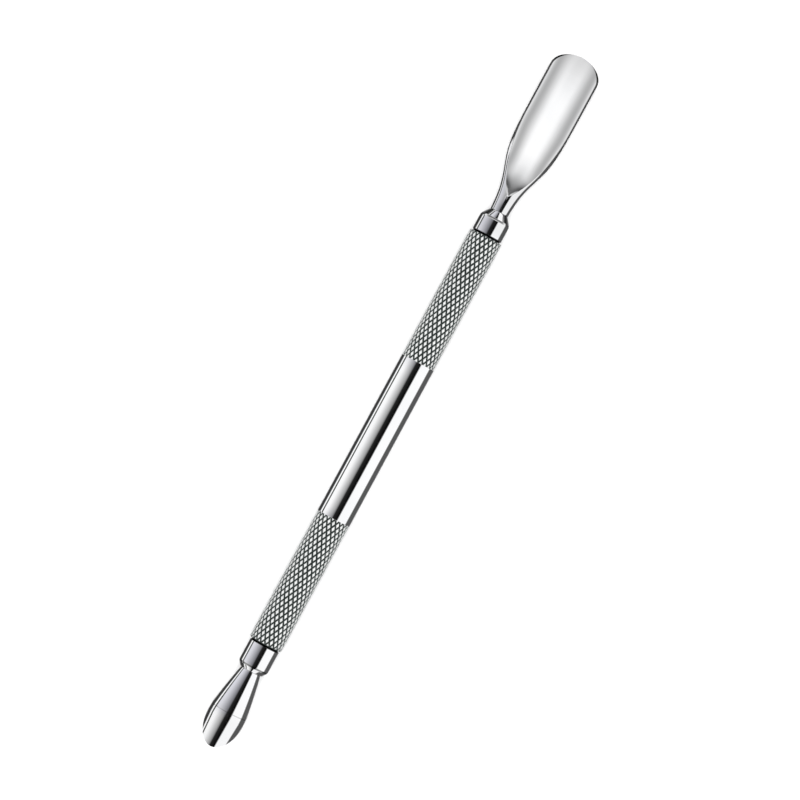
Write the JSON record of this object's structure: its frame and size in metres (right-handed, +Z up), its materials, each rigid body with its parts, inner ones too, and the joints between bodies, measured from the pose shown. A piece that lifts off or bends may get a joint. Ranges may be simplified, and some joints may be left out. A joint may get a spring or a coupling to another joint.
{
  "type": "cuticle pusher",
  "caption": "Slim double-ended steel cuticle pusher with a long spoon, a short hollowed scoop and a round handle with knurled grips.",
  "frame": {"origin": "on the table that the tool lies on, under the middle of its box", "axes": "+X along the tool towards the spoon's tip, +Y across it, +Z up, out of the spoon's hollow"},
  "size_m": [0.13, 0.0088, 0.0063],
  "materials": {
    "polished_steel": "mirror-polished stainless steel",
    "knurled_steel": "bright diamond knurl with dark grooves"
  },
  "bodies": {
    "root": {"spoon_pusher": "polished_steel", "spoon_end_ferrule": "polished_steel", "handle_barrel": "polished_steel", "spoon_end_knurled_grip": "knurled_steel", "scoop_end_knurled_grip": "knurled_steel", "scoop_end_ferrule": "polished_steel", "scoop_cleaner": "polished_steel"}
  },
  "joints": []
}
